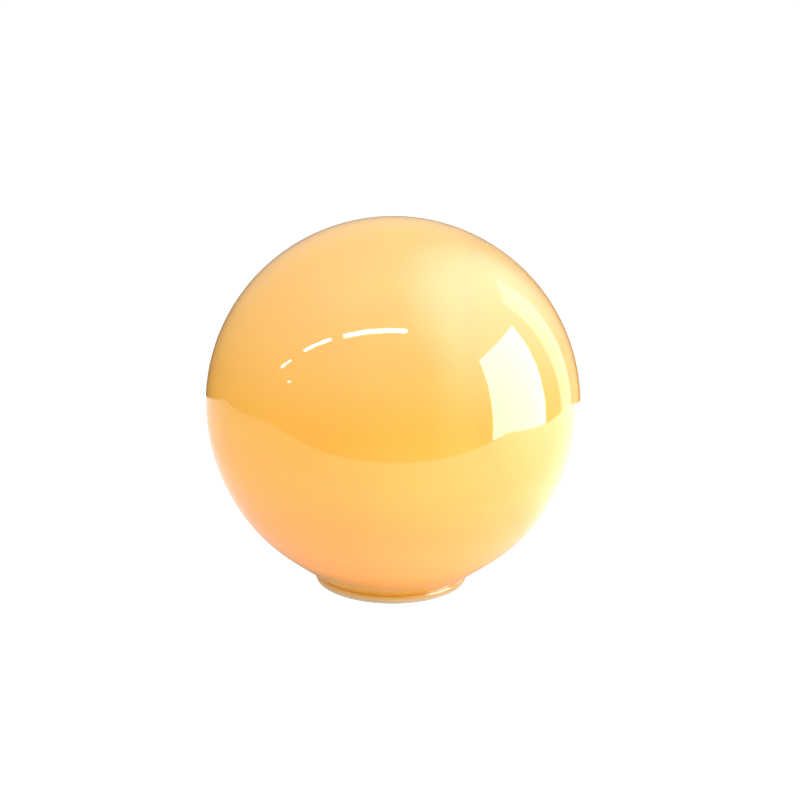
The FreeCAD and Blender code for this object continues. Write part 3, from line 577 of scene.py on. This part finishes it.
def notched(bm, rounding):
    """The same solid with the cord's notch cut and its edges polished."""
    mesh = bpy.data.meshes.new("before_notch")
    bm.to_mesh(mesh)
    bm.free()
    blank = bpy.data.objects.new("before_notch", mesh)
    bpy.context.scene.collection.objects.link(blank)
    cutter = notch_cutter()
    grind = blank.modifiers.new("notch", "BOOLEAN")
    grind.operation = "DIFFERENCE"
    grind.solver = "EXACT"
    grind.object = cutter
    ready = blank.evaluated_get(bpy.context.evaluated_depsgraph_get())
    cut = bmesh.new()
    cut.from_mesh(ready.to_mesh())
    bpy.data.objects.remove(blank)
    bpy.data.objects.remove(cutter)
    bmesh.ops.remove_doubles(cut, verts=cut.verts[:], dist=0.002 * MM)
    edges = [e for e in cut.edges if e.is_manifold and e.calc_face_angle() > math.radians(55)]
    bmesh.ops.bevel(cut, geom=edges, offset=rounding * MM, segments=2, profile=0.5, affect="EDGES",
                    material=-1, clamp_overlap=True)
    return cut


globe = bmesh.new()
top = globe.verts.new((0, 0, (CENTRE_Z + GLOBE_R) * MM))
tail = carried_round(globe, top, (0, CENTRE_Z), 180 - CONE_SLOPE, 120)
for step in range(1, CONE_STEPS + 1):
    share = step / CONE_STEPS
    tail = carried_to(globe, tail, CONE_TOP[0] + (CREASE[0] - CONE_TOP[0]) * share,
                      CONE_TOP[1] + (CREASE[1] - CONE_TOP[1]) * share)
tail = carried_round(globe, tail, LIP, 145, 16)
tail = carried_to(globe, tail, MOUTH_ROUND[0], 1.2)
tail = carried_round(globe, tail, MOUTH_ROUND, 90, 8)
tail = carried_to(globe, tail, NECK_BORE, 8.6)
tail = carried_to(globe, tail, 46.65, 9.6)
inner_drop = math.degrees(math.acos(THROAT_R / GLOBE_INNER_R))
tail = carried_to(globe, tail, THROAT_R, CENTRE_Z - GLOBE_INNER_R * math.sin(math.radians(inner_drop)))
carried_round(globe, tail, (0, CENTRE_Z), -(90 + inner_drop), 90)
bmesh.ops.spin(globe, geom=globe.verts[:] + globe.edges[:], cent=(0, 0, 0), axis=(0, 0, 1),
               angle=2 * math.pi, steps=256, use_merge=True)
bmesh.ops.remove_doubles(globe, verts=globe.verts[:], dist=0.002 * MM)
# the blown wall isn't quite round; its unevenness, in mm, fades out towards the lip
LONG_WAVE = 0.16
SHORT_WAVE = 0.02
FADE_FOOT_M = 0.014
FADE_OVER_M = 0.05
heart = Vector((0, 0, CENTRE_Z * MM))
for vert in globe.verts:
    free = min(max((vert.co.z - FADE_FOOT_M) / FADE_OVER_M, 0.0), 1.0)
    wave = LONG_WAVE * noise.noise(vert.co * 13.0) + SHORT_WAVE * noise.noise(vert.co * 42.0)
    vert.co += (vert.co - heart).normalized() * wave * free * MM
bmesh.ops.recalc_face_normals(globe, faces=globe.faces[:])
amber_glass = amber_opal()
finished(notched(globe, 0.3), "blown_globe", "globe", "amber_glass", amber_glass, "glass_globe")


# ---------------------------------------------------------------- ring under the lip
# A soft, slightly yellowed silicone ring that the lip stands in. It keeps the glass off the
# table top, and is cut away at the cord's notch.
silicone = moulded("silicone_ring", (0.50, 0.44, 0.34), tone=0.08, cloud=90, grain=900, depth=0.02,
                   rough=0.5, sheen=0.1)
RING_INSIDE = 47.0
RING_OUTSIDE = 52.2
RING_EDGE_TOP = 1.75
ring = bmesh.new()
start = ring.verts.new((RING_INSIDE * MM, 0, 0.5 * MM))
tail = carried_round(ring, start, (47.5, 0.5), -90, 5)
tail = carried_to(ring, tail, 51.5, 0)
tail = carried_round(ring, tail, (51.5, 0.7), -90, 6)
tail = carried_to(ring, tail, RING_OUTSIDE, RING_EDGE_TOP)
side = math.degrees(math.atan2(RING_EDGE_TOP - LIP[1], RING_OUTSIDE - LIP[0]))
tail = carried_round(ring, tail, LIP, 90 + side, 8)
tail = carried_to(ring, tail, MOUTH_ROUND[0], tail.co.z / MM)
tail = carried_to(ring, tail, 47.2, 1.45)
tail = carried_to(ring, tail, RING_INSIDE, 1.4)
ring.edges.new((tail, start))
bmesh.ops.spin(ring, geom=ring.verts[:] + ring.edges[:], cent=(0, 0, 0), axis=(0, 0, 1),
               angle=2 * math.pi, steps=192, use_merge=True)
bmesh.ops.remove_doubles(ring, verts=ring.verts[:], dist=0.001 * MM)
bmesh.ops.recalc_face_normals(ring, faces=ring.faces[:])
finished(notched(ring, 0.2), "lip_ring", "globe", "silicone", silicone, "rim_ring")


# ---------------------------------------------------------------- table top
# A plain pale table top that the lamp stands on. It isn't part of the lamp; the glass mirrors it and its
# edges. Its glow, brighter towards the window, is painted light, and its darkening round the foot in the
# glass's mirror image is painted shade.
TABLE_SIZE = (2.15, 0.99)
TABLE_MIDDLE = (-0.175, 0.075)
TABLE_DROP = -0.0001
TABLE_SEEN = 0.37


def pale_laminate():
    """Pale top, evenly pale to the camera; to other rays it glows with painted light brighter towards
    the window, and the glass mirrors painted shade round its foot.
    """
    material = moulded("pale_laminate", (0.35, 0.35, 0.35), tone=0.004, rough=0.6, depth=0.0)
    nodes, links = material.node_tree.nodes, material.node_tree.links
    shader = nodes["Principled BSDF"]
    place = nodes.new("ShaderNodeTexCoord")
    across = nodes.new("ShaderNodeSeparateXYZ")
    links.new(place.outputs["Object"], across.inputs["Vector"])
    along = nodes.new("ShaderNodeMapRange")
    along.inputs["From Min"].default_value = -1.0
    links.new(across.outputs["X"], along.inputs["Value"])
    # painted light: the top glows brighter towards the window
    painted_window_light = nodes.new("ShaderNodeValToRGB")
    for at, level in ((0.35, 0.2), (0.5, 0.37), (0.62, 0.64)):
        painted_window_light.color_ramp.elements.new(at).color = (level, level, level, 1)
    painted_window_light.color_ramp.elements[0].color = (0.08, 0.08, 0.08, 1)
    painted_window_light.color_ramp.elements[-1].color = (1, 1, 1, 1)
    links.new(along.outputs["Result"], painted_window_light.inputs["Fac"])
    # painted shade: what the glass mirrors right round its foot is dimmed
    out = nodes.new("ShaderNodeVectorMath")
    out.operation = "LENGTH"
    links.new(place.outputs["Object"], out.inputs[0])
    shade = nodes.new("ShaderNodeMapRange")
    shade.interpolation_type = "SMOOTHSTEP"
    shade.inputs["From Min"].default_value = 0.04
    shade.inputs["From Max"].default_value = 0.22
    shade.inputs["To Min"].default_value = 0.15
    links.new(out.outputs["Value"], shade.inputs["Value"])
    path = nodes.new("ShaderNodeLightPath")
    mirrored = nodes.new("ShaderNodeMix")
    mirrored.inputs[2].default_value = 1.0
    links.new(path.outputs["Is Glossy Ray"], mirrored.inputs[0])
    links.new(shade.outputs["Result"], mirrored.inputs[3])
    dimmed = nodes.new("ShaderNodeVectorMath")
    dimmed.operation = "SCALE"
    links.new(painted_window_light.outputs["Color"], dimmed.inputs[0])
    links.new(mirrored.outputs[0], dimmed.inputs["Scale"])
    # seen straight on it is evenly pale
    seen = nodes.new("ShaderNodeMix")
    seen.data_type = "RGBA"
    seen.inputs[7].default_value = (TABLE_SEEN, TABLE_SEEN, TABLE_SEEN, 1)
    links.new(path.outputs["Is Camera Ray"], seen.inputs[0])
    links.new(dimmed.outputs[0], seen.inputs[6])
    links.new(seen.outputs[2], shader.inputs["Emission Color"])
    shader.inputs["Emission Strength"].default_value = 2.6
    return material


table = bmesh.new()
bmesh.ops.create_grid(table, x_segments=1, y_segments=1, size=0.5)
bmesh.ops.scale(table, vec=(*TABLE_SIZE, 1.0), verts=table.verts[:])
bmesh.ops.translate(table, vec=(*TABLE_MIDDLE, TABLE_DROP), verts=table.verts[:])
table_mesh = bpy.data.meshes.new("table_top")
table.to_mesh(table_mesh)
table.free()
table_mesh.materials.append(pale_laminate())
table_top = bpy.data.objects.new("table_top", table_mesh)
bpy.context.scene.collection.objects.link(table_top)


# ---------------------------------------------------------------- room light
# Even white studio light all round. Mirrored in the glass, the room reads darker near the floor and
# brighter round a window to the right, with a pale curtain beside it and a row of ceiling tubes.
WINDOW_WAY = (0.853, 0.0, 0.522)


def room():
    """World that lights evenly and is mirrored as a room with a bright wall round the window."""
    world = bpy.data.worlds.new("studio")
    world.use_nodes = True
    nodes, links = world.node_tree.nodes, world.node_tree.links
    nodes.clear()
    path = nodes.new("ShaderNodeLightPath")
    white = nodes.new("ShaderNodeBackground")
    white.inputs["Color"].default_value = (1, 1, 1, 1)
    white.inputs["Strength"].default_value = 1.05
    walls = nodes.new("ShaderNodeBackground")
    way = nodes.new("ShaderNodeTexCoord")
    parts = nodes.new("ShaderNodeSeparateXYZ")
    links.new(way.outputs["Generated"], parts.inputs["Vector"])
    tone = nodes.new("ShaderNodeValToRGB")
    ramp = tone.color_ramp
    ramp.elements[0].position = 0.42
    ramp.elements[0].color = (0.04, 0.035, 0.03, 1)
    ramp.elements[1].position = 1.0
    ramp.elements[1].color = (0.98, 0.98, 0.98, 1)
    for at, level in ((0.5, 0.10), (0.63, 0.30), (0.86, 0.66)):
        ramp.elements.new(at).color = (level, level, level * 0.97, 1)
    rise = nodes.new("ShaderNodeMapRange")
    rise.inputs["From Min"].default_value = -1.0
    links.new(parts.outputs["Z"], rise.inputs["Value"])
    links.new(rise.outputs["Result"], tone.inputs["Fac"])
    links.new(tone.outputs["Color"], walls.inputs["Color"])
    # the wall behind is darker, and the one round the window brighter
    behind = nodes.new("ShaderNodeMapRange")
    behind.inputs["From Min"].default_value = -0.1
    behind.inputs["From Max"].default_value = 0.6
    behind.inputs["To Min"].default_value = 3.6
    behind.inputs["To Max"].default_value = 2.3
    links.new(parts.outputs["Y"], behind.inputs["Value"])
    toward = nodes.new("ShaderNodeVectorMath")
    toward.operation = "DOT_PRODUCT"
    toward.inputs[1].default_value = WINDOW_WAY
    links.new(way.outputs["Generated"], toward.inputs[0])
    glow = nodes.new("ShaderNodeMapRange")
    glow.interpolation_type = "SMOOTHSTEP"
    glow.inputs["From Min"].default_value = 0.47
    glow.inputs["From Max"].default_value = 0.93
    glow.inputs["To Max"].default_value = 4.6
    links.new(toward.outputs["Value"], glow.inputs["Value"])
    level = nodes.new("ShaderNodeMath")
    links.new(behind.outputs["Result"], level.inputs[0])
    links.new(glow.outputs["Result"], level.inputs[1])
    links.new(level.outputs[0], walls.inputs["Strength"])
    # the side wall next to the window catches its light
    beside = nodes.new("ShaderNodeMapRange")
    beside.interpolation_type = "SMOOTHSTEP"
    beside.inputs["From Min"].default_value = 0.3
    beside.inputs["From Max"].default_value = 0.6
    beside.inputs["To Max"].default_value = 0.8
    links.new(parts.outputs["X"], beside.inputs["Value"])
    side_wall = nodes.new("ShaderNodeBackground")
    links.new(beside.outputs["Result"], side_wall.inputs["Strength"])
    both = nodes.new("ShaderNodeAddShader")
    links.new(walls.outputs["Background"], both.inputs[0])
    links.new(side_wall.outputs["Background"], both.inputs[1])
    mix = nodes.new("ShaderNodeMixShader")
    links.new(path.outputs["Is Glossy Ray"], mix.inputs["Fac"])
    links.new(white.outputs["Background"], mix.inputs[1])
    links.new(both.outputs["Shader"], mix.inputs[2])
    result = nodes.new("ShaderNodeOutputWorld")
    links.new(mix.outputs["Shader"], result.inputs["Surface"])
    bpy.context.scene.world = world


def lit_panel(name, middle, facing, along, length, width, radiance, mirrored=True, lights=True):
    """Flat light round its middle, turned to the point it faces, its length along a direction."""
    lamp = bpy.data.lights.new(name, "AREA")
    lamp.shape = "RECTANGLE"
    lamp.size = width
    lamp.size_y = length
    lamp.energy = radiance * math.pi * width * length
    back = (Vector(middle) - Vector(facing)).normalized()
    up = (Vector(along) - Vector(along).dot(back) * back).normalized()
    panel = bpy.data.objects.new(name, lamp)
    panel.rotation_euler = Matrix((up.cross(back), up, back)).transposed().to_euler()
    panel.location = middle
    panel.visible_camera = False
    panel.visible_glossy = mirrored
    panel.visible_diffuse = lights
    bpy.context.scene.collection.objects.link(panel)


room()
UPRIGHT = (0, 0, 1)
CEILING_Z = 1.72
TUBE_WIDTH = 0.09
lit_panel("window", (1.5, -0.378, 0.46), facing=(0, -0.378, 0.46), along=UPRIGHT,
          length=1.32, width=1.155, radiance=11.0, lights=False)
lit_panel("window_light", (1.5, -0.33, 0.46), facing=(0, -0.33, 0.46), along=UPRIGHT,
          length=1.32, width=1.25, radiance=4.2, mirrored=False)
lit_panel("curtain", (1.16, 0.68, 0.52), facing=heart, along=(-0.253, -0.303, 1.213),
          length=1.3, width=0.4, radiance=1.9, lights=False)
for name, left, right, y, radiance in (("tube_1", -0.978, 0.232, -1.16, 60.0),
                                       ("tube_2", -2.298, -1.291, -1.14, 40.0),
                                       ("tube_3", -4.284, -3.166, -1.18, 40.0),
                                       ("tube_4", -5.6, -5.1, -2.42, 40.0)):
    middle = Vector(((left + right) / 2, y, CEILING_Z))
    lit_panel(name, middle, facing=middle - Vector(UPRIGHT), along=(1, 0, 0), length=right - left,
              width=TUBE_WIDTH, radiance=radiance, lights=False)


# ---------------------------------------------------------------- camera
# From the front, a little above the lamp and looking down at it by about 13 degrees; the camera is
# rolled by just under a degree.
ELEVATION = math.radians(12.9)
DISTANCE = 0.75
ROLL = math.radians(0.87)
AIM_OFFSET = (0.00453, 0, 0.00237)
lens = bpy.data.cameras.new("front_view")
lens.lens = 49.9
lens.sensor_width = 36.0
view = bpy.data.objects.new("front_view", lens)
view.location = heart + Vector((0, -math.cos(ELEVATION), math.sin(ELEVATION))) * DISTANCE
aim = heart + Vector(AIM_OFFSET)
level = (aim - view.location).to_track_quat("-Z", "Y").to_matrix()
view.rotation_euler = (level @ Matrix.Rotation(ROLL, 3, "Z")).to_euler()
bpy.context.scene.collection.objects.link(view)
bpy.context.scene.camera = view
bpy.context.scene.view_settings.view_transform = "Standard"
